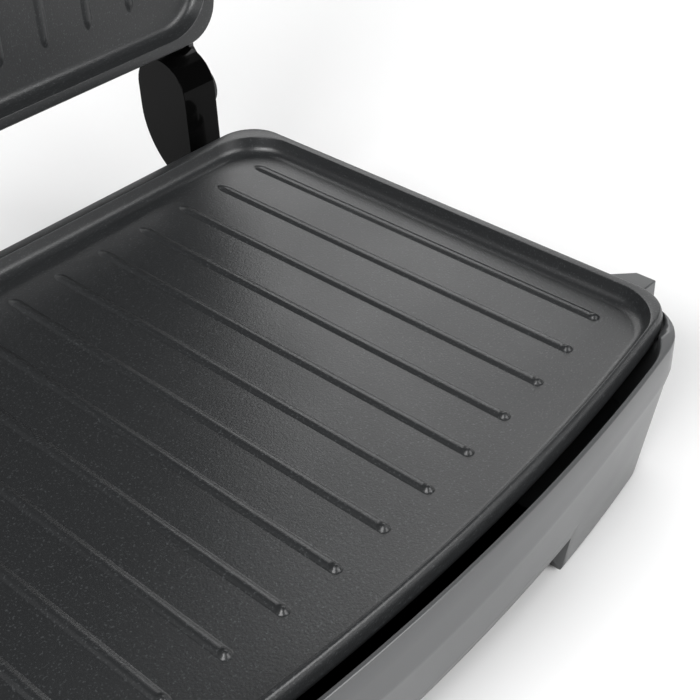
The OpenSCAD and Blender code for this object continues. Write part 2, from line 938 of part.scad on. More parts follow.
module release_button() {
    face_x = body_half + button_out;
    cap_x = body_half + button_gap + 0.5;
    front = -button_front;
    slab(button_z, rim_z) polygon([[cap_x, front], [face_x, front], [face_x, front + button_l],
        [cap_x, front + button_l + face_x - cap_x]]);
    block([stem_end_x, front, button_stem_z], [cap_x + 0.01, front + stem_l, button_stem_z + stem_h]);
    block([body_half - wall - fit_gap - collar_t, front - collar_side, button_stem_z],
        [body_half - wall - fit_gap, front - collar_side + collar_l, button_stem_z + stem_h]);
}

// turns of the return spring, between the stem and its seat
module release_spring() {
    first = spring_wire / 2 + 0.3;
    last = first + (spring_turns - 1) * spring_pitch;
    translate([stem_end_x, -button_front + stem_l / 2, button_stem_z + stem_h / 2]) rotate([0, -90, 0]) {
        for (z = [first : spring_pitch : last + 0.01]) {
            translate([0, 0, z]) rotate_extrude() translate([spring_r, 0]) circle(spring_wire / 2, $fn = 24);
        }
        translate([spring_r, 0, first]) cylinder(h = last - first, r = spring_wire / 3);
    }
}

// rib that the return spring pushes against, under the plate's shelf
module spring_seat() {
    x1 = stem_end_x - (spring_turns - 1) * spring_pitch - spring_wire - 0.6;
    block([x1 - seat_t, -button_front, button_stem_z - 1],
        [x1, -button_front + stem_l, plate_under_z - shelf_t + 0.5]);
}

module lower_release_button() {
    color("#3c3d3f") release_button();
}

module lower_release_spring() {
    color("silver") release_spring();
}

module upper_release_button() {
    color("#3c3d3f") in_lid() release_button();
}

module upper_release_spring() {
    color("silver") in_lid() release_spring();
}

// ---------- handle, drawn on the shut lid ----------

module handle_bracket() {
    opened() difference() {
        across(handle_x, handle_x + bracket_w) {
            translate([handle_y, handle_z]) circle(grip_r + 1);
            polygon([[handle_y, handle_z - grip_r - 1], [-body_front + 12, handle_z - grip_r - 1],
                [-body_front + 12, handle_z + grip_r - 1], [handle_y, handle_z + grip_r + 1]]);
        }
        slab(lid_rim_z - 5, crown_z + 20) body_outline(0, lid_back_gap, 0);
        translate([handle_x - 1, handle_y, handle_z]) rotate([0, 90, 0])
            cylinder(h = bracket_w - 2, r = bar_r + 0.03);
    }
}

module handle_bracket_left() {
    color("#3c3d3f") mirror([1, 0, 0]) handle_bracket();
}

module handle_bracket_right() {
    color("#3c3d3f") handle_bracket();
}

module handle_bar() {
    half = handle_x + bracket_w - 4;
    color("silver") opened() translate([-half, handle_y, handle_z]) rotate([0, 90, 0])
        cylinder(h = 2 * half, r = bar_r);
}

module handle_grip() {
    half = handle_x - 0.2;
    color("#1b1b1c") opened() translate([-half, handle_y, handle_z]) rotate([0, 90, 0]) difference() {
        cylinder(h = 2 * half, r = grip_r);
        translate([0, 0, -1]) cylinder(h = 2 * half + 2, r = bar_r + 0.05);
    }
}

// ---------- lamps in the lid's front wall ----------

module at_lamps() {
    for (side = [-1, 1]) {
        at_lamp(side) children();
    }
}

module at_lamp(side) {
    translate([side * lamp_x, -body_front - lamp_stand, lamp_z]) rotate([-90, 0, 0]) children();
}

module lamp_lens(side) {
    opened() at_lamp(side) {
        cylinder(h = lamp_stand + wall + 3, r = lamp_d / 2);
        translate([0, 0, lamp_stand + wall + 1]) cylinder(h = 2, r = lamp_d / 2 + lamp_flange);
    }
}

module power_lamp() {
    color("red") lamp_lens(-1);
}

module ready_lamp() {
    color("green") lamp_lens(1);
}

base_housing();
bottom_cover();
rubber_feet();
cover_screws();
lower_plate();
lower_reflector();
lower_element();
lower_element_clips();
lower_thermostat();
thermal_fuse();
terminal_block();
cord_gland();
hinge_tower_left();
hinge_tower_right();
tower_screws();
hinge_sliders();
hinge_pins();
lower_release_button();
lower_release_spring();
lid_housing();
lid_top_panel();
lid_inner_frame();
frame_screws();
upper_plate();
upper_reflector();
upper_element();
upper_element_clips();
upper_thermostat();
lid_arm_left();
lid_arm_right();
arm_screws();
upper_release_button();
upper_release_spring();
handle_bracket_left();
handle_bracket_right();
handle_bar();
handle_grip();
power_lamp();
ready_lamp();
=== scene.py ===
"""Panini press: the finished look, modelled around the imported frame.
Sizes are in metres unless a name ends in _mm."""

import json
import math

import bpy
from bpy.props import FloatProperty, FloatVectorProperty, PointerProperty
from mathutils import Matrix, Vector


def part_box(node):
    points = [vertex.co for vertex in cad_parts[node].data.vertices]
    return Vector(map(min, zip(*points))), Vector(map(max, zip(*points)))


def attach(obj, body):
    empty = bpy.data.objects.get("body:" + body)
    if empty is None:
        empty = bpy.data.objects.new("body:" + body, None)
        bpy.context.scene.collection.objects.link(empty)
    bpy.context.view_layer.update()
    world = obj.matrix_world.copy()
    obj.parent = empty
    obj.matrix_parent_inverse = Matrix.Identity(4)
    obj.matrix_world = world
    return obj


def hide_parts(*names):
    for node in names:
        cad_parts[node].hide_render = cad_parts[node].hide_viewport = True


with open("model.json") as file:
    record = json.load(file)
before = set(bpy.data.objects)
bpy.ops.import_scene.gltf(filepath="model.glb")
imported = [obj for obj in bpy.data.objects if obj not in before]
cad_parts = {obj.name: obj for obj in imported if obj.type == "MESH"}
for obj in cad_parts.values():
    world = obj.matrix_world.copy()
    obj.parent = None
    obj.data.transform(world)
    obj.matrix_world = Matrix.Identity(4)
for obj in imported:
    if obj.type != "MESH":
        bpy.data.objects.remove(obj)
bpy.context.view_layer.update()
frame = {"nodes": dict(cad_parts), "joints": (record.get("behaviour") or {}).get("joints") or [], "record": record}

bl_info = {
    "name": "Panini press",
    "version": (1, 0, 0),
    "blender": (4, 5, 0),
    "location": "View3D > Sidebar > Press",
    "description": "Models a panini press on its packed frame, with its finishes and a plain studio",
    "category": "Object",
}

MM = 0.001


def linear(hex_colour):
    """An sRGB hex colour as the linear colour that Blender's nodes take."""
    channels = [int(hex_colour[i:i + 2], 16) / 255 for i in (1, 3, 5)]
    return [c / 12.92 if c <= 0.04045 else ((c + 0.055) / 1.055) ** 2.4 for c in channels] + [1.0]


# ---------- places taken from the frame ----------

PLATE_LOW, PLATE_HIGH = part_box("lower_plate")
BASE_LOW, BASE_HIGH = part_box("base_housing")
JOINTS = {joint["name"]: joint for joint in frame["joints"]}
PIVOT = Vector(JOINTS["lid_hinge"]["pos_m"])
UPPER_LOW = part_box("upper_plate")[0]

BASE_FRONT = BASE_LOW.y
BASE_BACK = BASE_HIGH.y
BASE_HALF = BASE_HIGH.x
RIM = BASE_HIGH.z
LAND = PLATE_HIGH.z
PLATE_UNDER = PLATE_LOW.z
PLATE_HALF = PLATE_HIGH.x
PLATE_BACK = PLATE_HIGH.y
BOW_RADIUS = 809 * MM
BOW_CENTRE = BASE_FRONT + BOW_RADIUS
PLATE_BOW = BOW_CENTRE - PLATE_LOW.y

# The open lid's raised edge is this far in front of the pivot, which gives the height of the shut lid's edge.
SHUT_LAND = PIVOT.z - (PIVOT.y - UPPER_LOW.y)
MIRROR = (LAND + SHUT_LAND) / 2
LID_RIM = 2 * MIRROR - RIM
CROWN = PIVOT.z + (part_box("lid_top_panel")[1].y - PIVOT.y)
CROWN_Y = (BASE_FRONT + BASE_BACK) / 2

TURN_OVER = Matrix.Translation((0, 0, 2 * MIRROR)) @ Matrix.Scale(-1, 4, (0, 0, 1))
OPEN_LID = Matrix.Translation(PIVOT) @ Matrix.Rotation(math.radians(-90), 4, "X") @ Matrix.Translation(-PIVOT)


# ---------- sizes and colours that a user would change ----------


class PressSizes(bpy.types.PropertyGroup):
    rib_width: FloatProperty(name="Rib width", description="Width of a rib inside its fillets",
                             default=3.8 * MM, unit="LENGTH")
    rib_height: FloatProperty(name="Rib height", description="Height of a rib above the pan",
                              default=0.85 * MM, unit="LENGTH")
    rib_pitch: FloatProperty(name="Rib pitch", description="Distance between ribs", default=20 * MM, unit="LENGTH")
    edge_rounding: FloatProperty(name="Edge rounding", description="Rounding of moulded edges",
                                 default=0.6 * MM, unit="LENGTH")
    skirt_rounding: FloatProperty(name="Skirt rounding", description="Rounding under the plate's edge",
                                  default=3.5 * MM, unit="LENGTH")
    lid_rounding: FloatProperty(name="Lid rounding", description="Rounding between the lid's side and its crown",
                                default=7 * MM, unit="LENGTH")
    crown_radius: FloatProperty(name="Crown radius", description="Radius of the lid's crown",
                                default=1.2, unit="LENGTH")
    panel_margin: FloatProperty(name="Panel margin", description="Width of the moulded edge round the steel panel",
                                default=16 * MM, unit="LENGTH")


class PressFinish(bpy.types.PropertyGroup):
    coating: FloatVectorProperty(name="Plate coating", description="Colour of the non-stick coating", subtype="COLOR",
                                 size=4, default=linear("#242526"))
    housing: FloatVectorProperty(name="Housing", description="Colour of the moulded housings", subtype="COLOR",
                                 size=4, default=linear("#424344"))
    gloss: FloatVectorProperty(name="Hinge towers", description="Colour of the glossy towers", subtype="COLOR",
                               size=4, default=linear("#060606"))
    grip: FloatVectorProperty(name="Grip", description="Colour of the soft grip", subtype="COLOR",
                              size=4, default=linear("#1b1b1d"))
    floor: FloatVectorProperty(name="Floor", description="Colour of the studio floor", subtype="COLOR",
                               size=4, default=linear("#f4f4f4"))


# ---------- modelling helpers ----------


def deselect():
    if bpy.context.object and bpy.context.object.mode != "OBJECT":
        bpy.ops.object.mode_set(mode="OBJECT")
    bpy.ops.object.select_all(action="DESELECT")


def activate(piece):
    deselect()
    piece.select_set(True)
    bpy.context.view_layer.objects.active = piece


def arc(cx, cy, r, a0, a1, steps):
    """Points of an arc from angle a0 to a1 in degrees, both ends included."""
    return [(cx + r * math.cos(math.radians(a0 + (a1 - a0) * i / steps)),
             cy + r * math.sin(math.radians(a0 + (a1 - a0) * i / steps))) for i in range(steps + 1)]


def straight(a, b, steps):
    """Points between a and b, both ends left out."""
    return [(a[0] + (b[0] - a[0]) * i / steps, a[1] + (b[1] - a[1]) * i / steps) for i in range(1, steps)]


BOW_STEPS, CORNER_STEPS, SIDE_STEPS, BACK_STEPS = 40, 12, 12, 20


def bowed_outline(half, back, bow, r_front, r_back):
    """The plan of the press: a bowed front that runs round into straight sides and a straight back.
    Each point is (x, y, front), where front is 1 on the bow and falls to 0 round its corners."""
    cx = half - r_front
    t = math.degrees(math.asin(cx / (bow - r_front)))
    cy = BOW_CENTRE - (bow - r_front) * math.cos(math.radians(t))
    bx, by = half - r_back, back - r_back
    points = [(x, y, 1.0) for x, y in arc(0, BOW_CENTRE, bow, 270 - t, 270 + t, BOW_STEPS)]
    corner = arc(cx, cy, r_front, 270 + t, 360, CORNER_STEPS)[1:]
    points += [(x, y, 1 - (i + 1) / CORNER_STEPS) for i, (x, y) in enumerate(corner)]
    points += [(x, y, 0.0) for x, y in straight((half, cy), (half, by), SIDE_STEPS)]
    points += [(x, y, 0.0) for x, y in arc(bx, by, r_back, 0, 90, CORNER_STEPS)]
    points += [(x, y, 0.0) for x, y in straight((bx, back), (-bx, back), BACK_STEPS)]
    points += [(x, y, 0.0) for x, y in arc(-bx, by, r_back, 90, 180, CORNER_STEPS)]
    points += [(x, y, 0.0) for x, y in straight((-half, by), (-half, cy), SIDE_STEPS)]
    corner = arc(-cx, cy, r_front, 180, 270 - t, CORNER_STEPS)[:-1]
    points += [(x, y, i / CORNER_STEPS) for i, (x, y) in enumerate(corner)]
    return points


def loft(name, rings, smooth_angle=30):
    """A closed piece grown ring by ring.
    A circle primitive takes the first ring's shape, and each further ring is extruded from the last."""
    deselect()
    count = len(rings[0])
    bpy.ops.mesh.primitive_circle_add(vertices=count, radius=1, fill_type="NOTHING")
    piece = bpy.context.object
    piece.name = piece.data.name = name
    for vertex, place in zip(piece.data.vertices, rings[0]):
        vertex.co = place
    bpy.ops.object.mode_set(mode="EDIT")
    bpy.ops.mesh.select_all(action="SELECT")
    bpy.ops.mesh.edge_face_add()
    bpy.ops.object.mode_set(mode="OBJECT")
    order = list(range(count))
    for ring in rings[1:]:
        order = extrude_ring(piece, order, ring)
    pick(piece, set(order))
    bpy.ops.object.mode_set(mode="EDIT")
    bpy.ops.mesh.edge_face_add()
    bpy.ops.object.mode_set(mode="OBJECT")
    face_outwards(piece)
    bpy.ops.object.shade_smooth_by_angle(angle=math.radians(smooth_angle))
    return piece


def pick(piece, vertices):
    """Selects these vertices and the edges between neighbouring ones, and nothing else."""
    mesh = piece.data
    for polygon in mesh.polygons:
        polygon.select = False
    for edge in mesh.edges:
        edge.select = edge.vertices[0] in vertices and edge.vertices[1] in vertices
    for vertex in mesh.vertices:
        vertex.select = vertex.index in vertices


def extrude_ring(piece, order, ring):
    """Extrudes the ring of vertices given in order, and moves the new ones to the places in ring."""
    mesh = piece.data
    start = len(mesh.vertices)
    pick(piece, set(order))
    bpy.ops.object.mode_set(mode="EDIT")
    bpy.ops.mesh.select_mode(type="EDGE")
    bpy.ops.mesh.extrude_edges_move()
    bpy.ops.object.mode_set(mode="OBJECT")
    mesh = piece.data
    partner = {}
    for edge in mesh.edges:
        a, b = edge.vertices
        if a < start <= b:
            partner[a] = b
        elif b < start <= a:
            partner[b] = a
    new_order = [partner[v] for v in order]
    for vertex, place in zip(new_order, ring):
        mesh.vertices[vertex].co = place
    return new_order


def face_outwards(piece):
    activate(piece)
    bpy.ops.object.mode_set(mode="EDIT")
    bpy.ops.mesh.select_all(action="SELECT")
    bpy.ops.mesh.normals_make_consistent(inside=False)
    bpy.ops.object.mode_set(mode="OBJECT")


def bevelled(piece, width, segments=3, angle=35):
    """Rounds the piece's hard edges, and applies the rounding."""
    activate(piece)
    bevel = piece.modifiers.new("edge rounding", "BEVEL")
    bevel.width = width
    bevel.segments = segments
    bevel.limit_method = "ANGLE"
    bevel.angle_limit = math.radians(angle)
    bevel.use_clamp_overlap = True
    bevel.harden_normals = False
    bpy.ops.object.modifier_apply(modifier=bevel.name)
    bpy.ops.object.shade_smooth_by_angle(angle=math.radians(35))
    return piece


def cut(piece, cutter):
    """Takes the cutter out of the piece, and removes the cutter."""
    activate(piece)
    boolean = piece.modifiers.new("cut", "BOOLEAN")
    boolean.operation = "DIFFERENCE"
    boolean.solver = "EXACT"
    boolean.object = cutter
    bpy.ops.object.modifier_apply(modifier=boolean.name)
    mesh = cutter.data
    bpy.data.objects.remove(cutter)
    bpy.data.meshes.remove(mesh)
    return piece


def joined(pieces):
    activate(pieces[0])
    for piece in pieces[1:]:
        piece.select_set(True)
    bpy.ops.object.join()
    return bpy.context.object


def copied(piece, name):
    twin = piece.copy()
    twin.data = piece.data.copy()
    twin.name = twin.data.name = name
    bpy.context.collection.objects.link(twin)
    return twin


def placed(piece, matrix):
    """Moves a piece's mesh, and turns its faces back out if the move mirrors them."""
    piece.data.transform(matrix)
    if matrix.determinant() < 0:
        piece.data.flip_normals()
    piece.data.update()
    return piece


def box_piece(name, low, high):
    corners = [(low[0], low[1]), (high[0], low[1]), (high[0], high[1]), (low[0], high[1])]
    return loft(name, [[(x, y, z) for x, y in corners] for z in (low[2], high[2])])


def across(name, outline, x0, x1):
    """A profile drawn in Y and Z, carried along X from x0 to x1."""
    return loft(name, [[(x, y, z) for y, z in outline] for x in (x0, x1)])


def turned(name, profile, start, axis, sides=64):
    """A round piece along X, Y or Z: profile gives (distance along the axis, radius) for each ring."""
    u = Vector((0, 1, 0)) if axis == "X" else Vector((0, 0, 1)) if axis == "Y" else Vector((1, 0, 0))
    along = {"X": Vector((1, 0, 0)), "Y": Vector((0, 1, 0)), "Z": Vector((0, 0, 1))}[axis]
    v = along.cross(u)
    rings = []
    for distance, radius in profile:
        centre = Vector(start) + along * distance
        rings.append([centre + (u * math.cos(a) + v * math.sin(a)) * radius
                      for a in (2 * math.pi * i / sides for i in range(sides))])
    return loft(name, rings)


def finish_piece(piece, body, node, slot):
    """Gives a piece its finish, and lets it ride on this body in place of this node of the frame."""
    piece.data.materials.clear()
    piece.data.materials.append(SURFACES[slot])
    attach(piece, body)
    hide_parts(node)


# ---------- materials ----------


def add_node(tree, kind, settings=None, links=None):
    """Adds a shader node, sets its properties or sockets, and links sockets to other nodes' outputs."""
    node = tree.nodes.new(kind)
    for key, value in (settings or {}).items():
        if isinstance(key, str) and hasattr(node, key):
            setattr(node, key, value)
        else:
            node.inputs[key].default_value = value
    for key, output in (links or {}).items():
        tree.links.new(output, node.inputs[key])
    return node


def surface(name, colour, roughness, metallic=0.0, ior=1.5, coat=0.0, coat_roughness=0.1, transmission=0.0):
    """A new material with its constants on the shader's own sockets.
    Returns it with its node tree, its shader and the coordinates that its patterns read."""
    material = bpy.data.materials.new(name)
    material.use_nodes = True
    tree = material.node_tree
    shader = tree.nodes["Principled BSDF"]
    values = {"Base Color": colour, "Roughness": roughness, "Metallic": metallic, "IOR": ior,
              "Coat Weight": coat, "Coat Roughness": coat_roughness, "Transmission Weight": transmission}
    for key, value in values.items():
        shader.inputs[key].default_value = value
    place = add_node(tree, "ShaderNodeTexCoord").outputs["Object"]
    return material, tree, shader, place


def grain(tree, shader, place, size_mm, height_mm, detail=2.0):
    """A fine raised grain of this size and height."""
    noise = add_node(tree, "ShaderNodeTexNoise", {"Scale": 1 / (size_mm * MM), "Detail": detail}, {"Vector": place})
    bump = add_node(tree, "ShaderNodeBump", {"Strength": 1.0, "Distance": height_mm * MM},
                    {"Height": noise.outputs["Fac"]})
    tree.links.new(bump.outputs["Normal"], shader.inputs["Normal"])
    return bump


# noise values that most of a pattern lies between
NOISE_LOW, NOISE_HIGH = 0.35, 0.65


def varied(tree, shader, place, socket, size_mm, low, high):
    """Lets a value wander slowly between low and high over this size."""
    noise = add_node(tree, "ShaderNodeTexNoise", {"Scale": 1 / (size_mm * MM), "Detail": 3.0}, {"Vector": place})
    limits = {"From Min": NOISE_LOW, "From Max": NOISE_HIGH, "To Min": low, "To Max": high}
    spread = add_node(tree, "ShaderNodeMapRange", limits, {"Value": noise.outputs["Fac"]})
    tree.links.new(spread.outputs["Result"], shader.inputs[socket])


def tinted(tree, shader, place, size_mm, dark, light, first=NOISE_LOW, last=NOISE_HIGH):
    """Mixes two colours in a noise of this size. The noise turns from dark to light between first and last."""
    noise = add_node(tree, "ShaderNodeTexNoise", {"Scale": 1 / (size_mm * MM), "Detail": 2.0}, {"Vector": place})
    spread = add_node(tree, "ShaderNodeMapRange", {"From Min": first, "From Max": last},
                      {"Value": noise.outputs["Fac"]})
    mix = add_node(tree, "ShaderNodeMix", {"data_type": "RGBA", 6: dark, 7: light}, {0: spread.outputs["Result"]})
    tree.links.new(mix.outputs[2], shader.inputs["Base Color"])


def nonstick_coating(finish):
    """Sprayed non-stick over cast aluminium: dark and satin, with pale flecks and a slight orange peel."""
    colour = list(finish.coating)
    material, tree, shader, place = surface("nonstick_coating", colour, 0.34, ior=1.45)
    flecks = linear("#3c3e3f")
    # flecks of about 0.7 mm, coarser than the real pigment so that they show
    tinted(tree, shader, place, 0.7, colour, flecks, 0.6, 0.7)
    varied(tree, shader, place, "Roughness", 60, 0.31, 0.37)
    grain(tree, shader, place, 0.6, 0.06)
    return material


def moulded_housing(finish):
    """Glass-filled nylon from a spark-eroded tool: dark grey, an even satin."""
    material, tree, shader, place = surface("moulded_housing", list(finish.housing), 0.3, ior=1.5)
    varied(tree, shader, place, "Roughness", 45, 0.28, 0.33)
    # the tool's texture is about 0.1 mm, drawn at 0.5 mm so that it shows
    grain(tree, shader, place, 0.5, 0.008)
    return material


def glossy_tower(finish):
    """Polished black ABS: deep black with clear, faintly wavy reflections."""
    material, tree, shader, place = surface("glossy_tower", list(finish.gloss), 0.08, ior=1.46)
    # the pale floor would grey it, so it mirrors less than bare plastic does
    shader.inputs["Specular IOR Level"].default_value = 0.07
    varied(tree, shader, place, "Roughness", 12, 0.06, 0.11)
    grain(tree, shader, place, 11, 0.02, detail=0.0)
    return material


def black_moulding():
    """Phenolic and nylon inner parts: matt black with a dry surface."""
    material, tree, shader, place = surface("black_moulding", linear("#1d1d1e"), 0.55)
    varied(tree, shader, place, "Roughness", 30, 0.5, 0.6)
    grain(tree, shader, place, 0.6, 0.012)
    return material


def soft_grip(finish):
    """Soft-touch coated grip: near black, with a low broad sheen."""
    material, tree, shader, place = surface("soft_grip", list(finish.grip), 0.5)
    shader.inputs["Sheen Weight"].default_value = 0.15
    varied(tree, shader, place, "Roughness", 25, 0.46, 0.55)
    grain(tree, shader, place, 0.45, 0.014)
    return material


def foot_rubber():
    """Moulded silicone rubber: black and dull."""
    material, tree, shader, place = surface("foot_rubber", linear("#141414"), 0.7)
    varied(tree, shader, place, "Roughness", 8, 0.62, 0.78)
    grain(tree, shader, place, 0.5, 0.02)
    return material


def brushed_panel():
    """Brushed stainless sheet: fine lines across the lid, which break the highlight into streaks."""
    dull, bright = linear("#8b8c8e"), linear("#a4a5a6")
    material, tree, shader, place = surface("brushed_panel", dull, 0.42, metallic=1.0)
    # lines run along X, 0.15 mm apart in the sheet, drawn at 0.7 mm so that they show
    per_length, per_width = 9, 1400
    stretch = add_node(tree, "ShaderNodeMapping", {"Scale": (per_length, per_width, per_width)}, {"Vector": place})
    lines = add_node(tree, "ShaderNodeTexNoise", {"Scale": 1.0, "Detail": 1.0},
                     {"Vector": stretch.outputs["Vector"]})
    limits = {"From Min": 0.3, "From Max": 0.7, "To Min": 0.36, "To Max": 0.48}
    spread = add_node(tree, "ShaderNodeMapRange", limits, {"Value": lines.outputs["Fac"]})
    tree.links.new(spread.outputs["Result"], shader.inputs["Roughness"])
    mix = add_node(tree, "ShaderNodeMix", {"data_type": "RGBA", 6: dull, 7: bright}, {0: lines.outputs["Fac"]})
    tree.links.new(mix.outputs[2], shader.inputs["Base Color"])
    return material


def plain_metal(name, hex_colour, roughness, mottle_mm=6):
    """Sheet or turned metal: its roughness wanders a little, as plating and handling leave it."""
    material, tree, shader, place = surface(name, linear(hex_colour), roughness, metallic=1.0)
    varied(tree, shader, place, "Roughness", mottle_mm, roughness - 0.07, roughness + 0.09)
    grain(tree, shader, place, 0.7, 0.006)
    return material


def element_sheath():
    """Stainless sheath that heat has turned brown and grey in bands."""
    material, tree, shader, place = surface("element_sheath", linear("#6a625a"), 0.45, metallic=1.0)
    tinted(tree, shader, place, 14, linear("#4c443d"), linear("#8a8078"))
    grain(tree, shader, place, 0.6, 0.01)
    return material


def painted_arm():
    """Pressed steel arm with black powder coating: a low orange peel."""
    material, tree, shader, place = surface("painted_arm", linear("#1a1a1b"), 0.32)
    varied(tree, shader, place, "Roughness", 20, 0.28, 0.38)
    grain(tree, shader, place, 1.2, 0.02)
    return material


def moulded_insulator(name, hex_colour):
    """Ceramic-filled or acetal moulding: pale and matt with a soft mottle."""
    material, tree, shader, place = surface(name, linear(hex_colour), 0.48)
    varied(tree, shader, place, "Roughness", 10, 0.42, 0.54)
    grain(tree, shader, place, 0.4, 0.006)
    return material


def signal_lens(name, hex_colour):
    """Tinted polycarbonate lens: clear and glossy, with a fine diffusing grain behind."""
    material, tree, shader, place = surface(name, linear(hex_colour), 0.12, ior=1.58, coat=0.4, coat_roughness=0.05,
                                            transmission=0.35)
    varied(tree, shader, place, "Roughness", 2, 0.1, 0.2)
    grain(tree, shader, place, 0.8, 0.01)
    return material


def studio_floor(finish):
    """Matt white paper sweep."""
    material, tree, shader, place = surface("studio_floor", list(finish.floor), 0.9)
    grain(tree, shader, place, 3, 0.01)
    return material


SURFACES = {}


def make_surfaces(finish):
    SURFACES.update({
        "nonstick_aluminium": nonstick_coating(finish),
        "housing_plastic": moulded_housing(finish),
        "gloss_black_plastic": glossy_tower(finish),
        "cover_plastic": black_moulding(),
        "grip_plastic": soft_grip(finish),
        "foot_rubber": foot_rubber(),
        "brushed_panel": brushed_panel(),
        "zinc_steel": plain_metal("zinc_plated_steel", "#b4b4ae", 0.32),
        "pin_steel": plain_metal("ground_steel", "#a5a6a8", 0.22),
        "aluminised_steel": plain_metal("aluminised_sheet", "#c3c4c4", 0.4, 18),
        "element_sheath": element_sheath(),
        "arm_steel": painted_arm(),
        "thermostat_body": moulded_insulator("phenolic_thermostat", "#8c7a62"),
        "terminal_plastic": moulded_insulator("ivory_terminal", "#ddd8c8"),
        "bearing_plastic": moulded_insulator("acetal_slider", "#cfccc2"),
        "red_lens": signal_lens("red_lens", "#a01008"),
        "green_lens": signal_lens("green_lens", "#0f7a2a"),
    })


# ---------- grill plates ----------

PAN_FLOOR = PLATE_UNDER + 3 * MM
# widths of the raised edge
LAND_SIDE, LAND_BACK, LAND_FRONT = 3.2 * MM, 4.5 * MM, 2.2 * MM
OUTER_CORNER, PAN_CORNER = 15 * MM, 20 * MM
# the front edge rolls over further than the sides do
FRONT_ROLL_W, FRONT_ROLL_H = 1.7 * MM, 4.6 * MM


def plate_ring(inset, land, past_land, z, r, front_inset=None, front_drop=0.0):
    """A ring of the plate: inset from the outer edge, then in by this share of the raised edge, then by past_land.
    The front may have its own inset, and lie lower by front_drop."""
    side = inset + land * LAND_SIDE + past_land
    back = inset + land * LAND_BACK + past_land
    front = (inset if front_inset is None else front_inset) + land * LAND_FRONT + past_land
    outline = bowed_outline(PLATE_HALF - side, PLATE_BACK - back, PLATE_BOW - front, r, r)
    return [(x, y, z - front_drop * w) for x, y, w in outline]


def plate_casting(sizes):
    """The plate without its ribs: rounded skirt, raised edge, sloping inner wall and a filleted pan."""
    soft = sizes.skirt_rounding
    edge = sizes.edge_rounding
    fillet = 4 * MM
    tilt = math.radians(10)
    rings = [plate_ring(0.012, 0, 0, PLATE_UNDER, 6 * MM)]
    for i in range(7):
        a = math.radians(15 * i)
        inset = soft * (1 - math.sin(a))
        rings.append(plate_ring(inset, 0, 0, PLATE_UNDER + soft * (1 - math.cos(a)), OUTER_CORNER - inset))
    for i in range(8):
        a = math.radians(90 * i / 7)
        inset = edge * (1 - math.cos(a))
        drop = (FRONT_ROLL_H - edge) * (1 - math.sin(a))
        rings.append(plate_ring(inset, 0, 0, LAND - edge * (1 - math.sin(a)), OUTER_CORNER - inset,
                                FRONT_ROLL_W * (1 - math.cos(a)), drop))
    brink = 0.35 * MM
    for i in range(4):
        a = math.radians(30 * i)
        rings.append(plate_ring(0, 1, brink * (math.sin(a) - 1), LAND - brink * (1 - math.cos(a)),
                                PAN_CORNER + brink * (1 - math.sin(a))))
    for i in range(8):
        a = math.radians(80 * i / 7)
        drop = fillet * (1 - math.sin(tilt + a)) if i < 7 else 0
        run = 0.7 * MM + fillet * (1 - math.cos(tilt + a)) - fillet * (1 - math.cos(tilt))
        rings.append(plate_ring(0, 1, run, PAN_FLOOR + drop, PAN_CORNER - run))
    return loft("plate", rings, smooth_angle=40)


RIB_COUNT = 15
# the rib ends' distances from the plate's front and back
RIB_FRONT, RIB_BACK = 23 * MM, 24 * MM
RIB_FILLET = 0.4 * MM
# the back end runs out this many times as long as the front end
RIB_NOSE = 2.2
# a rib ends in a low knob at the front
END_KNOB, KNOB_RADIUS = 0.7 * MM, 2.2 * MM
# the rows of the grid lie close together as far as this behind the front end
KNOB_ROWS, KNOB_SPAN = 12, 4.8 * MM
# a rib's skirt starts just under the pan's surface and goes this far down
RIB_SUNK, RIB_ROOT = 0.02 * MM, 1 * MM


def rib_profile(distance, half, height):
    """Height of a rib at this distance from its centre line: a soft crown that runs out in a fillet."""
    u = min(abs(distance) / half, 1)
    return height * (1 - u ** 2.4) ** 2


def rib(name, x, front, back, sizes):
    """One rib: a fine grid raised along the middle, with a round front end and a long soft nose at the back."""
    half = sizes.rib_width / 2 + RIB_FILLET
    columns = [half * i / 12 for i in range(-12, 13)]
    rows = [front - half + half * i / 10 for i in range(10)]
    rows += [front + KNOB_SPAN * i / KNOB_ROWS for i in range(KNOB_ROWS)]
    rows += [front + KNOB_SPAN + (back - front - KNOB_SPAN) * i / 14 for i in range(14)]
    rows += [back + half * RIB_NOSE * i / 10 for i in range(11)]
    deselect()
    bpy.ops.mesh.primitive_grid_add(x_subdivisions=len(columns) - 1, y_subdivisions=len(rows) - 1, size=1)
    piece = bpy.context.object
    piece.name = piece.data.name = name
    for i, vertex in enumerate(piece.data.vertices):
        across_rib = columns[i % len(columns)]
        y = rows[i // len(columns)]
        past = max(front - y, 0) + max(y - back, 0) / RIB_NOSE
        height = rib_profile(math.hypot(across_rib, past), half, sizes.rib_height)
        height += END_KNOB * max(1 - (math.hypot(across_rib, y - front) / KNOB_RADIUS) ** 2, 0) ** 2
        vertex.co = (x + across_rib, y, PAN_FLOOR + height - RIB_SUNK)
    bpy.ops.object.mode_set(mode="EDIT")
    bpy.ops.mesh.select_all(action="SELECT")
    bpy.ops.mesh.region_to_loop()
    bpy.ops.mesh.extrude_edges_move(TRANSFORM_OT_translate={"value": (0, 0, -RIB_ROOT)})
    bpy.ops.mesh.edge_face_add()
    bpy.ops.mesh.select_all(action="SELECT")
    bpy.ops.mesh.normals_make_consistent(inside=False)
    bpy.ops.object.mode_set(mode="OBJECT")
    bpy.ops.object.shade_smooth_by_angle(angle=math.radians(60))
    return piece


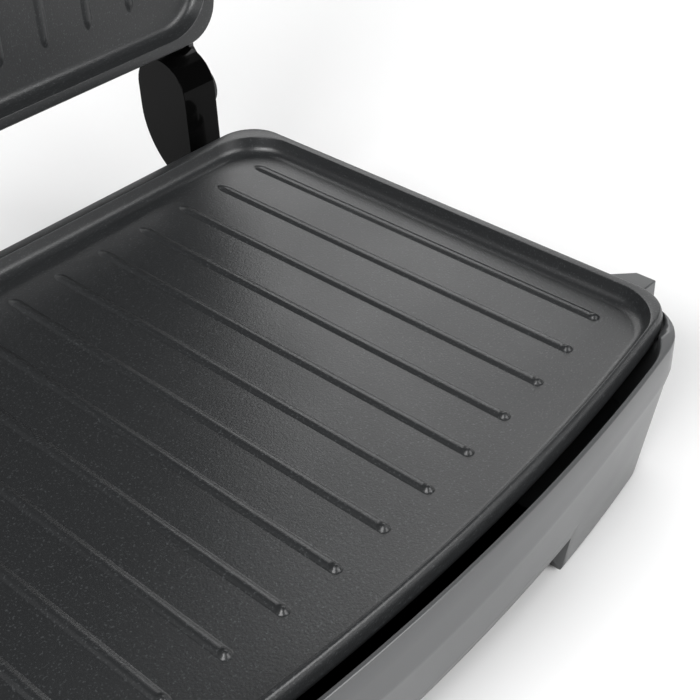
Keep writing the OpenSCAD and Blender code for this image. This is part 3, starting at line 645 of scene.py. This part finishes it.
def grill_plate(sizes):
    """The plate's casting with its row of ribs."""
    pieces = [plate_casting(sizes)]
    for i in range(RIB_COUNT):
        x = (i - (RIB_COUNT - 1) / 2) * sizes.rib_pitch
        bow = BOW_CENTRE - math.sqrt(PLATE_BOW ** 2 - x ** 2)
        front = bow + RIB_FRONT
        back = PLATE_BACK - RIB_BACK
        pieces.append(rib(f"rib_{i}", x, front, back, sizes))
    return joined(pieces)


class PRESS_OT_grill_plates(bpy.types.Operator):
    """Model the ribbed lower plate and its twin in the lid"""
    bl_idname = "press.grill_plates"
    bl_label = "Grill plates"

    def execute(self, context):
        lower = grill_plate(context.scene.press_sizes)
        upper = placed(copied(lower, "upper_grill"), OPEN_LID @ TURN_OVER)
        lower.name = "lower_grill"
        finish_piece(lower, "base", "lower_plate", "nonstick_aluminium")
        finish_piece(upper, "lid", "upper_plate", "nonstick_aluminium")
        return {"FINISHED"}


# ---------- base housing ----------

STEP = 7 * MM
CREASE_LOW, CREASE_HIGH = 39.5 * MM, 44.8 * MM


def crease_height(x):
    """The front's crease climbs from the middle towards each corner."""
    u = min(abs(x) / (0.8 * BASE_HALF), 1)
    return CREASE_LOW + (CREASE_HIGH - CREASE_LOW) * u * u * (3 - 2 * u)


def body_ring(side, front, z_side, z_front, back=0.0, r_front=22 * MM, r_back=15 * MM, rising=0.0):
    """A ring of the housing. z_front is used on the bow, with the crease's climb added in this share."""
    ring = []
    for x, y, w in bowed_outline(BASE_HALF - side, BASE_BACK - back, BOW_RADIUS - front, r_front, r_back):
        ahead = z_front + rising * (crease_height(x) - CREASE_LOW)
        ring.append((x, y, z_side + (ahead - z_side) * w))
    return ring


def base_shell(sizes):
    edge = sizes.edge_rounding
    foot = BASE_LOW.z
    lean = 7 * MM
    mm = MM
    outer = [
        body_ring(STEP + 1 * mm, lean + 1 * mm, foot, foot, 1 * mm, 17.5 * mm, 14 * mm),
        body_ring(STEP + 0.3 * mm, lean + 0.2 * mm, foot + 0.2 * mm, foot + 0.2 * mm, 0.3 * mm, 18.2 * mm, 14.7 * mm),
        body_ring(STEP, lean - 0.2 * mm, foot + 1 * mm, foot + 1 * mm, 0, 18.5 * mm),
        body_ring(STEP, lean * 0.5, 20 * mm, 20 * mm, 0, 18.5 * mm, rising=0.5),
        body_ring(STEP, lean * 0.07, 34 * mm, CREASE_LOW - 3 * mm, 0, 18.5 * mm, rising=1),
        body_ring(STEP - 0.1 * mm, 0.2 * mm, 35.4 * mm, CREASE_LOW - 0.8 * mm, 0, 18.6 * mm, rising=1),
        body_ring(STEP - 0.7 * mm, 0.03 * mm, 36.3 * mm, CREASE_LOW, 0, 18.9 * mm, rising=1),
        body_ring(3.6 * mm, 0, 38.2 * mm, CREASE_LOW + 0.8 * mm, 0, 20.2 * mm, rising=1),
        body_ring(1 * mm, 0, 39.8 * mm, CREASE_LOW + 2 * mm, 0, 21.5 * mm, rising=1),
        body_ring(0.3 * mm, 0, 40.4 * mm, CREASE_LOW + 3 * mm, 0, 21.8 * mm, rising=0.9),
        body_ring(0, 0, 41.4 * mm, CREASE_LOW + 4.5 * mm, 0, 22 * mm, rising=0.7),
        body_ring(0, 0, 47.5 * mm, 49.5 * mm),
    ]
    for i in range(4):
        a = math.radians(30 * i)
        inset = edge * (1 - math.cos(a))
        z = RIM - edge * (1 - math.sin(a))
        outer.append(body_ring(inset, inset, z, z, inset))
    lip = 0.3 * mm
    inner = [
        body_ring(4 * mm, 1.3 * mm, RIM, RIM, 2.2 * mm, 29 * mm, 13 * mm),
        body_ring(4 * mm + lip, 1.3 * mm + lip, RIM - lip, RIM - lip, 2.2 * mm + lip, 29 * mm, 13 * mm),
        body_ring(5 * mm, 2.5 * mm, RIM - 9 * mm, RIM - 9 * mm, 2.6 * mm, 28 * mm, 13 * mm),
        body_ring(STEP + 3 * mm, 4 * mm, 42 * mm, 40 * mm, 3 * mm, 22 * mm, 13 * mm),
        body_ring(STEP + 3 * mm, 7 * mm, 20 * mm, 20 * mm, 3 * mm, 18 * mm, 13 * mm),
    ]
    return loft("base_shell", outer + inner, smooth_angle=28)


def plate_recess():
    """The room that the plate sits in, cut into the housing's top."""
    grow = 1 * MM
    corner = OUTER_CORNER + grow
    outline = bowed_outline(PLATE_HALF + grow, PLATE_BACK + grow, PLATE_BOW + grow, corner, corner)
    return loft("recess", [[(x, y, z) for x, y, _ in outline] for z in (PLATE_UNDER, RIM + 5 * MM)])


# a cutter reaches this far past the face that it starts from
PAST = 20 * MM


class PRESS_OT_base_housing(bpy.types.Operator):
    """Model the base's moulded housing with its four feet"""
    bl_idname = "press.base_housing"
    bl_label = "Base housing"

    def execute(self, context):
        sizes = context.scene.press_sizes
        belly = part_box("bottom_cover")[0].z
        foot_x = 83 * MM
        front_foot = -74 * MM
        back_foot = BASE_BACK - 34 * MM
        shell = base_shell(sizes)
        cut(shell, plate_recess())
        below = -PAST / 2
        cut(shell, box_piece("gap", (-foot_x, BASE_FRONT - PAST, below), (foot_x, BASE_BACK + PAST, belly)))
        cut(shell, box_piece("gap", (-BASE_HALF - PAST, front_foot, below), (BASE_HALF + PAST, back_foot, belly)))
        gland_low, gland_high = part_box("cord_gland")
        middle = (gland_low + gland_high) / 2
        bore = 7 * MM
        cut(shell, turned("hole", [(0, bore), (1.5 * PAST, bore)], (middle.x, BASE_BACK - PAST, middle.z), "Y"))
        finish_piece(shell, "base", "base_housing", "housing_plastic")
        return {"FINISHED"}


# ---------- hinge towers ----------


class PRESS_OT_hinge_towers(bpy.types.Operator):
    """Model the two glossy hinge towers with the slots for the floating pins"""
    bl_idname = "press.hinge_towers"
    bl_label = "Hinge towers"

    def execute(self, context):
        for side, name in ((1, "hinge_tower_right"), (-1, "hinge_tower_left")):
            low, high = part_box(name)
            inner, outer = (low.x, high.x) if side > 0 else (-high.x, -low.x)
            tower = across(f"{name}_moulding", self.profile(low, high), inner, outer)
            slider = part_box("hinge_sliders")
            travel = JOINTS["lid_float"]["range_m"][1]
            slot_half, slot_wall, slack = 4.1 * MM, 3 * MM, 0.1 * MM
            slot = box_piece("slot", (inner + slot_wall, PIVOT.y - slot_half, slider[0].z),
                             (outer + PAST / 2, PIVOT.y + slot_half, slider[1].z + travel + slack))
            cut(tower, slot)
            bevelled(tower, 0.9 * MM, 3, 50)
            if side < 0:
                placed(tower, Matrix.Scale(-1, 4, (1, 0, 0)))
            finish_piece(tower, "base", name, "gloss_black_plastic")
        return {"FINISHED"}

    @staticmethod
    def profile(low, high):
        """Side view of a tower: a foot on the base's back wall, a swept back edge and a round head."""
        back = high.y
        front = BASE_BACK + 7.8 * MM
        head = (back - front) / 2
        sweep = 32.9 * MM
        sweep_z = 66 * MM
        foot_top = low.z + 24 * MM
        foot_back = BASE_BACK + 10 * MM
        meet = math.degrees(math.asin((foot_back - (back - sweep)) / sweep))
        points = [(BASE_BACK, low.z), (foot_back, low.z)]
        points += arc(back - sweep, sweep_z, sweep, 270 + meet, 360, 14)
        points += arc((front + back) / 2, high.z - head, head, 0, 180, 24)
        points += arc(front - 3 * MM, foot_top + 3 * MM, 3 * MM, 0, -90, 6)
        points.append((BASE_BACK, foot_top))
        return points


# ---------- lid ----------


LID_BACK = BASE_BACK - 2 * MM
# corner radii of the recess for the top panel
PANEL_CORNERS = (10 * MM, 6 * MM)
PANEL_DEPTH = 0.9 * MM


def crown_drop(x, y, sizes):
    """How far the crown has fallen here, from its middle."""
    return (x * x + (y - CROWN_Y) ** 2) / (2 * sizes.crown_radius)


def lid_ring(inset, z, sizes, crowned=0.0, r_front=None, r_back=None):
    """A ring of the shut lid. crowned is the share of the crown's fall that the ring follows."""
    r_front = 22 * MM - inset if r_front is None else r_front
    r_back = 15 * MM - inset if r_back is None else r_back
    ring = []
    for x, y, _ in bowed_outline(BASE_HALF - inset, LID_BACK - inset, BOW_RADIUS - inset,
                                 max(r_front, 2 * MM), max(r_back, 2 * MM)):
        ring.append((x, y, z - crowned * crown_drop(x, y, sizes)))
    return ring


def lid_shell(sizes):
    """The shut lid's shell, from inside its rim, over the crown, into the panel's recess."""
    edge = sizes.edge_rounding
    soft = sizes.lid_rounding
    margin = sizes.panel_margin
    mm = MM
    rings = [
        lid_ring(8 * mm, LID_RIM + 26 * mm, sizes, 0, 14 * mm, 9 * mm),
        lid_ring(2.6 * mm, LID_RIM + 20 * mm, sizes, 0, 19 * mm, 12 * mm),
        lid_ring(2.4 * mm, LID_RIM + 0.4 * mm, sizes, 0, 19.6 * mm, 12.6 * mm),
        lid_ring(2.0 * mm, LID_RIM, sizes, 0, 20 * mm, 13 * mm),
    ]
    for i in range(4):
        a = math.radians(30 * i)
        rings.append(lid_ring(edge * (1 - math.sin(a)), LID_RIM + edge * (1 - math.cos(a)), sizes))
    rings.append(lid_ring(0, LID_RIM + 9 * mm, sizes))
    for i in range(9):
        a = math.radians(90 * i / 8)
        rings.append(lid_ring(soft * (1 - math.cos(a)), CROWN - soft * (1 - math.sin(a)) - 0.05 * mm, sizes, 1))
    rings += [
        lid_ring(margin - 0.4 * mm, CROWN - 0.05 * mm, sizes, 1, *PANEL_CORNERS),
        lid_ring(margin, CROWN - 0.4 * mm, sizes, 1, *PANEL_CORNERS),
        lid_ring(margin, CROWN - PANEL_DEPTH, sizes, 1, *PANEL_CORNERS),
    ]
    rings += [shrunk(rings[-1], share, CROWN - PANEL_DEPTH, sizes) for share in (0.75, 0.5, 0.25)]
    return loft("lid_shell", rings, smooth_angle=28)


def shrunk(ring, share, z, sizes):
    """A ring drawn in towards the middle of the crown, and lifted onto the crown."""
    out = []
    for x, y, _ in ring:
        px, py = x * share, CROWN_Y + (y - CROWN_Y) * share
        out.append((px, py, z - crown_drop(px, py, sizes)))
    return out


class PRESS_OT_lid_shell(bpy.types.Operator):
    """Model the lid's moulded shell and its brushed top panel"""
    bl_idname = "press.lid_shell"
    bl_label = "Lid shell"

    def execute(self, context):
        sizes = context.scene.press_sizes
        shell = lid_shell(sizes)
        cut(shell, placed(plate_recess(), TURN_OVER))
        # each arm leaves through a slot in the back of the shut lid
        arm_low, arm_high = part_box("lid_arm_right")
        slot_inner, slot_outer = arm_low.x - 0.5 * MM, arm_high.x + 0.1 * MM
        low = PIVOT.z + 3 * MM
        for x0, x1 in ((slot_inner, slot_outer), (-slot_outer, -slot_inner)):
            cut(shell, box_piece("slot", (x0, LID_BACK - 0.03, low), (x1, LID_BACK + 0.01, low + 16 * MM)))
        for name in ("power_lamp", "ready_lamp"):
            low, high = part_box(name)
            z = PIVOT.z + ((low.y + high.y) / 2 - PIVOT.y)
            x = (low.x + high.x) / 2
            bore = 3.6 * MM
            cut(shell, turned("hole", [(0, bore), (PAST, bore)], (x, BASE_FRONT - PAST / 4, z), "Y", 32))
        placed(shell, OPEN_LID)
        finish_piece(shell, "lid", "lid_housing", "housing_plastic")
        panel = self.panel(sizes)
        placed(panel, OPEN_LID)
        finish_piece(panel, "lid", "lid_top_panel", "brushed_panel")
        return {"FINISHED"}

    @staticmethod
    def panel(sizes):
        """The sheet in the crown's recess, with its pressed edge."""
        margin = sizes.panel_margin + 0.25 * MM
        bottom = CROWN - PANEL_DEPTH + 0.05 * MM
        under = lid_ring(margin, bottom, sizes, 1, *PANEL_CORNERS)
        rings = [shrunk(under, share, bottom, sizes) for share in (0.25, 0.5, 0.75)] + [under]
        rings += [
            lid_ring(margin, CROWN - 0.35 * MM, sizes, 1, *PANEL_CORNERS),
            lid_ring(margin + 0.12 * MM, CROWN - 0.12 * MM, sizes, 1, *PANEL_CORNERS),
            lid_ring(margin + 0.4 * MM, CROWN, sizes, 1, *PANEL_CORNERS),
        ]
        top = rings[-1]
        rings += [shrunk(top, share, CROWN, sizes) for share in (0.88, 0.75, 0.6, 0.45, 0.3, 0.15, 0.05)]
        return loft("brushed_top", rings, smooth_angle=28)


# ---------- handle ----------


class PRESS_OT_handle(bpy.types.Operator):
    """Model the handle's two brackets and its grip"""
    bl_idname = "press.handle"
    bl_label = "Handle"

    def execute(self, context):
        grip_low, grip_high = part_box("handle_grip")
        centre_y = PIVOT.y - (((grip_low.z + grip_high.z) / 2) - PIVOT.z)
        centre_z = PIVOT.z + ((grip_low.y + grip_high.y) / 2 - PIVOT.y)
        radius = (grip_high.y - grip_low.y) / 2
        for side, name in ((1, "handle_bracket_right"), (-1, "handle_bracket_left")):
            low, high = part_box(name)
            inner, outer = (low.x, high.x) if side > 0 else (-high.x, -low.x)
            head = radius + 1 * MM
            root = BASE_FRONT + 6 * MM
            outline = arc(centre_y, centre_z, head, 90, 270, 24)
            outline += [(root, centre_z - head), (root, centre_z + head - 2 * MM)]
            bracket = across(f"{name}_moulding", outline, inner, outer)
            cut(bracket, self.lid_front())
            bevelled(bracket, 1.4 * MM, 4, 50)
            if side < 0:
                placed(bracket, Matrix.Scale(-1, 4, (1, 0, 0)))
            placed(bracket, OPEN_LID)
            finish_piece(bracket, "lid", name, "housing_plastic")
        length = grip_high.x - grip_low.x
        swell = 0.3 * MM
        end = [(0, radius * 0.55), (0, radius - 1.6 * MM), (0.5 * MM, radius - 0.7 * MM), (1.6 * MM, radius - swell)]
        middle = [(length * i / 24, radius - swell + swell * math.sin(math.pi * i / 24)) for i in range(1, 24)]
        profile = end + middle + [(length - along, r) for along, r in reversed(end)]
        grip = turned("soft_grip_sleeve", profile, (grip_low.x, centre_y, centre_z), "X", 72)
        placed(grip, OPEN_LID)
        finish_piece(grip, "lid", "handle_grip", "grip_plastic")
        return {"FINISHED"}

    @staticmethod
    def lid_front():
        """The room of the lid, which trims the brackets' roots to its bow."""
        outline = bowed_outline(BASE_HALF, LID_BACK, BOW_RADIUS, 22 * MM, 15 * MM)
        return loft("front", [[(x, y, z) for x, y, _ in outline] for z in (LID_RIM - 0.01, CROWN + 0.02)])


# ---------- release buttons ----------


class PRESS_OT_release_buttons(bpy.types.Operator):
    """Model the plate release buttons on the base and on the lid"""
    bl_idname = "press.release_buttons"
    bl_label = "Release buttons"

    def execute(self, context):
        low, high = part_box("lower_release_button")
        front = low.y + 3 * MM
        outer = high.x
        cap = BASE_HALF + 4.5 * MM
        flat = 7.8 * MM
        outline = [(cap, front), (outer, front), (outer, front + flat), (cap, front + flat + outer - cap)]
        rings = [[(x, y, z) for x, y in outline] for z in (low.z, high.z)]
        button = bevelled(loft("cap", rings), 0.5 * MM, 3, 30)
        stem_top = low.z + 6 * MM
        stem = box_piece("stem", (low.x, front, low.z), (cap + 1 * MM, front + 11 * MM, stem_top))
        bevelled(stem, 0.3 * MM, 2)
        collar_x = BASE_HALF - 2.8 * MM
        collar = box_piece("collar", (collar_x - 2.5 * MM, front - 3 * MM, low.z),
                           (collar_x, front + 14 * MM, stem_top))
        button = joined([button, stem, collar])
        button.name = "lower_push_button"
        twin = placed(copied(button, "upper_push_button"), OPEN_LID @ TURN_OVER)
        finish_piece(button, "lower_button", "lower_release_button", "housing_plastic")
        finish_piece(twin, "upper_button", "upper_release_button", "housing_plastic")
        return {"FINISHED"}


# ---------- finishes of the carried-over pieces ----------


class PRESS_OT_finishes(bpy.types.Operator):
    """Give every piece of the frame that still shows the finish of its material slot"""
    bl_idname = "press.finishes"
    bl_label = "Finishes"

    def execute(self, context):
        slots = {part["node"]: part["material_slot"] for part in frame["record"]["subparts"]}
        for name, node in frame["nodes"].items():
            node.data.materials.clear()
            node.data.materials.append(SURFACES[slots[name]])
        return {"FINISHED"}


# ---------- stage ----------


def softbox(name, place, target, width, height, power):
    """A rectangular softbox at place that faces target."""
    deselect()
    bpy.ops.object.light_add(type="AREA", location=place)
    light = bpy.context.object
    light.name = name
    light.data.shape = "RECTANGLE"
    light.data.size = width
    light.data.size_y = height
    light.data.energy = power
    light.visible_camera = False
    light.rotation_euler = (Vector(target) - Vector(place)).to_track_quat("-Z", "Y").to_euler()
    return light


class PRESS_OT_stage(bpy.types.Operator):
    """Set the floor, the lights and the camera"""
    bl_idname = "press.stage"
    bl_label = "Stage"

    def execute(self, context):
        scene = context.scene
        deselect()
        bpy.ops.mesh.primitive_plane_add(size=2.6, location=(0, 0, 0))
        floor = context.object
        floor.name = "floor"
        floor.data.materials.append(studio_floor(scene.press_finish))
        scene.world = self.world()
        scene.view_settings.view_transform = "Standard"
        middle = (0, 0, 0.05)
        softbox("left_box", (-1.2, -0.2, 1.0), middle, 1.0, 0.8, 31)
        softbox("front_box", (0.3, -1.4, 0.7), middle, 1.2, 0.8, 23)
        softbox("far_box", (0.8, 1.0, 1.0), middle, 1.0, 0.8, 7.5)
        softbox("back_box", (-0.2, 1.4, 0.9), middle, 1.4, 0.8, 5.5)
        softbox("low_right_box", (1.5, -0.4, 0.25), middle, 0.8, 0.4, 3)
        softbox("right_card", (1.3, 0.45, 0.5), middle, 0.7, 0.5, 3)
        softbox("right_box", (1.1, 0.35, 0.95), middle, 1.0, 0.9, 1.5)
        self.camera(scene)
        return {"FINISHED"}

    @staticmethod
    def world():
        """A pale backdrop for the camera, which lights the press only a little."""
        world = bpy.data.worlds.new("studio")
        world.use_nodes = True
        tree = world.node_tree
        fill = tree.nodes["Background"]
        fill.inputs["Color"].default_value = linear("#f2f3f5")
        fill.inputs["Strength"].default_value = 0.03
        seen = add_node(tree, "ShaderNodeBackground", {"Color": linear("#f4f4f4"), "Strength": 1.0})
        ray = add_node(tree, "ShaderNodeLightPath")
        mix = add_node(tree, "ShaderNodeMixShader", {}, {0: ray.outputs["Is Camera Ray"], 1: fill.outputs[0],
                                                         2: seen.outputs[0]})
        tree.links.new(mix.outputs[0], tree.nodes["World Output"].inputs["Surface"])
        return world

    @staticmethod
    def camera(scene):
        """The viewpoint: in front on the left, looking down across the plate, with a slight roll."""
        azimuth, elevation, roll = math.radians(-46.06), math.radians(37.21), math.radians(-2.55)
        back = Vector((math.sin(azimuth) * math.cos(elevation), -math.cos(azimuth) * math.cos(elevation),
                       math.sin(elevation)))
        level = Vector((0, 0, 1)).cross(back).normalized()
        upright = back.cross(level)
        right = level * math.cos(roll) + upright * math.sin(roll)
        up = upright * math.cos(roll) - level * math.sin(roll)
        bpy.ops.object.camera_add()
        camera = bpy.context.object
        camera.name = "camera"
        turn = Matrix((right, up, back)).transposed().to_4x4()
        camera.matrix_world = Matrix.Translation((-0.17999, -0.27249, 0.32387)) @ turn
        camera.data.sensor_width = 36
        camera.data.lens = 69.79
        camera.data.clip_start = 0.01
        scene.camera = camera


# ---------- panel and registration ----------

STEPS = (PRESS_OT_grill_plates, PRESS_OT_base_housing, PRESS_OT_hinge_towers, PRESS_OT_lid_shell, PRESS_OT_handle,
         PRESS_OT_release_buttons, PRESS_OT_finishes, PRESS_OT_stage)


class PRESS_PT_panel(bpy.types.Panel):
    """Lists the press's pieces in the order in which they are made"""
    bl_idname = "PRESS_PT_panel"
    bl_label = "Panini press"
    bl_space_type = "VIEW_3D"
    bl_region_type = "UI"
    bl_category = "Press"

    def draw(self, context):
        for group in (context.scene.press_sizes, context.scene.press_finish):
            for name in group.__annotations__:
                self.layout.prop(group, name)
        for step in STEPS:
            self.layout.operator(step.bl_idname)


CLASSES = (PressSizes, PressFinish) + STEPS + (PRESS_PT_panel,)


def register():
    for cls in CLASSES:
        bpy.utils.register_class(cls)
    bpy.types.Scene.press_sizes = PointerProperty(type=PressSizes)
    bpy.types.Scene.press_finish = PointerProperty(type=PressFinish)


def unregister():
    del bpy.types.Scene.press_finish
    del bpy.types.Scene.press_sizes
    for cls in reversed(CLASSES):
        bpy.utils.unregister_class(cls)


def main():
    register()
    make_surfaces(bpy.context.scene.press_finish)
    bpy.ops.press.grill_plates()
    bpy.ops.press.base_housing()
    bpy.ops.press.hinge_towers()
    bpy.ops.press.lid_shell()
    bpy.ops.press.handle()
    bpy.ops.press.release_buttons()
    bpy.ops.press.finishes()
    bpy.ops.press.stage()
    deselect()


if __name__ == "__main__":
    main()
